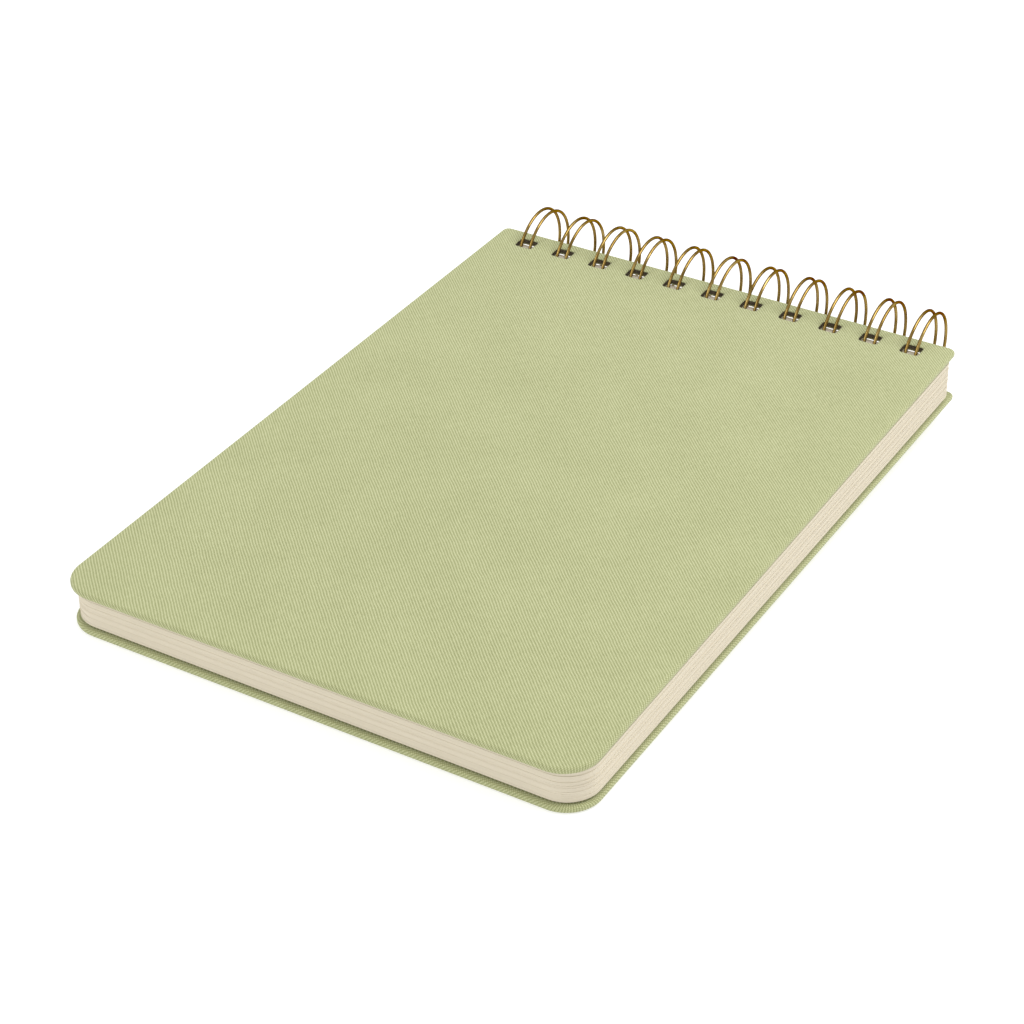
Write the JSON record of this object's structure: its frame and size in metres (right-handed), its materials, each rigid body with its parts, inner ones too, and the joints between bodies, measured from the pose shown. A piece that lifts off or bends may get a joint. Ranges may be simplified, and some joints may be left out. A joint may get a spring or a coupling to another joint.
{
  "type": "wire-bound notebook",
  "caption": "Top-bound hardcover notebook with cloth-covered boards, punched loose sheets and a round twin-loop binding wire; the cover and sheets turn over the wire.",
  "frame": {"origin": "on the outer face of the back cover, midway along the binding wire and midway down the covers", "axes": "+X along the binding wire, +Y from the rounded free corners towards the wire, +Z from the back cover to the front cover"},
  "size_m": [0.1504, 0.2381, 0.028],
  "materials": {
    "cover_cloth": "matte",
    "greyboard": "matte",
    "endpaper": "matte",
    "page_paper": "matte",
    "wire_brass": "satin"
  },
  "bodies": {
    "back_cover": {"back_cover_cloth": "cover_cloth", "back_cover_board": "greyboard", "back_endpaper": "endpaper", "binding_wire": "wire_brass"},
    "front_cover": {"front_cover_cloth": "cover_cloth", "front_cover_board": "greyboard", "front_endpaper": "endpaper"},
    "sheets_01_pack": {"sheets_01": "page_paper"},
    "sheets_02_pack": {"sheets_02": "page_paper"},
    "sheets_03_pack": {"sheets_03": "page_paper"},
    "sheets_04_pack": {"sheets_04": "page_paper"},
    "sheets_05_pack": {"sheets_05": "page_paper"},
    "sheets_06_pack": {"sheets_06": "page_paper"},
    "sheets_07_pack": {"sheets_07": "page_paper"},
    "sheets_08_pack": {"sheets_08": "page_paper"},
    "sheets_09_pack": {"sheets_09": "page_paper"},
    "sheets_10_pack": {"sheets_10": "page_paper"},
    "sheets_11_pack": {"sheets_11": "page_paper"},
    "sheets_12_pack": {"sheets_12": "page_paper"},
    "sheets_13_pack": {"sheets_13": "page_paper"},
    "sheets_14_pack": {"sheets_14": "page_paper"},
    "sheets_15_pack": {"sheets_15": "page_paper"}
  },
  "joints": [
    {"name": "front_cover_hinge", "type": "hinge", "parent": "back_cover", "child": "front_cover", "pos_m": [0, 0.11385, 0.0083], "axis": [-1, 0, 0], "range_deg": [0, 183.5]},
    {"name": "sheets_01_hinge", "type": "hinge", "parent": "back_cover", "child": "sheets_01_pack", "pos_m": [0, 0.11385, 0.0083], "axis": [-1, 0, 0], "range_deg": [0, 172.53]},
    {"name": "sheets_02_hinge", "type": "hinge", "parent": "back_cover", "child": "sheets_02_pack", "pos_m": [0, 0.11385, 0.0083], "axis": [-1, 0, 0], "range_deg": [0, 161.06]},
    {"name": "sheets_03_hinge", "type": "hinge", "parent": "back_cover", "child": "sheets_03_pack", "pos_m": [0, 0.11385, 0.0083], "axis": [-1, 0, 0], "range_deg": [0, 149.59]},
    {"name": "sheets_04_hinge", "type": "hinge", "parent": "back_cover", "child": "sheets_04_pack", "pos_m": [0, 0.11385, 0.0083], "axis": [-1, 0, 0], "range_deg": [0, 138.12]},
    {"name": "sheets_05_hinge", "type": "hinge", "parent": "back_cover", "child": "sheets_05_pack", "pos_m": [0, 0.11385, 0.0083], "axis": [-1, 0, 0], "range_deg": [0, 126.66]},
    {"name": "sheets_06_hinge", "type": "hinge", "parent": "back_cover", "child": "sheets_06_pack", "pos_m": [0, 0.11385, 0.0083], "axis": [-1, 0, 0], "range_deg": [0, 115.19]},
    {"name": "sheets_07_hinge", "type": "hinge", "parent": "back_cover", "child": "sheets_07_pack", "pos_m": [0, 0.11385, 0.0083], "axis": [-1, 0, 0], "range_deg": [0, 103.72]},
    {"name": "sheets_08_hinge", "type": "hinge", "parent": "back_cover", "child": "sheets_08_pack", "pos_m": [0, 0.11385, 0.0083], "axis": [-1, 0, 0], "range_deg": [0, 92.25]},
    {"name": "sheets_09_hinge", "type": "hinge", "parent": "back_cover", "child": "sheets_09_pack", "pos_m": [0, 0.11385, 0.0083], "axis": [-1, 0, 0], "range_deg": [0, 80.78]},
    {"name": "sheets_10_hinge", "type": "hinge", "parent": "back_cover", "child": "sheets_10_pack", "pos_m": [0, 0.11385, 0.0083], "axis": [-1, 0, 0], "range_deg": [0, 69.31]},
    {"name": "sheets_11_hinge", "type": "hinge", "parent": "back_cover", "child": "sheets_11_pack", "pos_m": [0, 0.11385, 0.0083], "axis": [-1, 0, 0], "range_deg": [0, 57.84]},
    {"name": "sheets_12_hinge", "type": "hinge", "parent": "back_cover", "child": "sheets_12_pack", "pos_m": [0, 0.11385, 0.0083], "axis": [-1, 0, 0], "range_deg": [0, 46.38]},
    {"name": "sheets_13_hinge", "type": "hinge", "parent": "back_cover", "child": "sheets_13_pack", "pos_m": [0, 0.11385, 0.0083], "axis": [-1, 0, 0], "range_deg": [0, 34.91]},
    {"name": "sheets_14_hinge", "type": "hinge", "parent": "back_cover", "child": "sheets_14_pack", "pos_m": [0, 0.11385, 0.0083], "axis": [-1, 0, 0], "range_deg": [0, 23.44]},
    {"name": "sheets_15_hinge", "type": "hinge", "parent": "back_cover", "child": "sheets_15_pack", "pos_m": [0, 0.11385, 0.0083], "axis": [-1, 0, 0], "range_deg": [0, 11.97]}
  ],
  "couplings": [
    {"joint": "sheets_01_hinge", "follows": "front_cover_hinge", "ratio": 0.9375},
    {"joint": "sheets_02_hinge", "follows": "front_cover_hinge", "ratio": 0.875},
    {"joint": "sheets_03_hinge", "follows": "front_cover_hinge", "ratio": 0.8125},
    {"joint": "sheets_04_hinge", "follows": "front_cover_hinge", "ratio": 0.75},
    {"joint": "sheets_05_hinge", "follows": "front_cover_hinge", "ratio": 0.6875},
    {"joint": "sheets_06_hinge", "follows": "front_cover_hinge", "ratio": 0.625},
    {"joint": "sheets_07_hinge", "follows": "front_cover_hinge", "ratio": 0.5625},
    {"joint": "sheets_08_hinge", "follows": "front_cover_hinge", "ratio": 0.5},
    {"joint": "sheets_09_hinge", "follows": "front_cover_hinge", "ratio": 0.4375},
    {"joint": "sheets_10_hinge", "follows": "front_cover_hinge", "ratio": 0.375},
    {"joint": "sheets_11_hinge", "follows": "front_cover_hinge", "ratio": 0.3125},
    {"joint": "sheets_12_hinge", "follows": "front_cover_hinge", "ratio": 0.25},
    {"joint": "sheets_13_hinge", "follows": "front_cover_hinge", "ratio": 0.1875},
    {"joint": "sheets_14_hinge", "follows": "front_cover_hinge", "ratio": 0.125},
    {"joint": "sheets_15_hinge", "follows": "front_cover_hinge", "ratio": 0.0625}
  ]
}
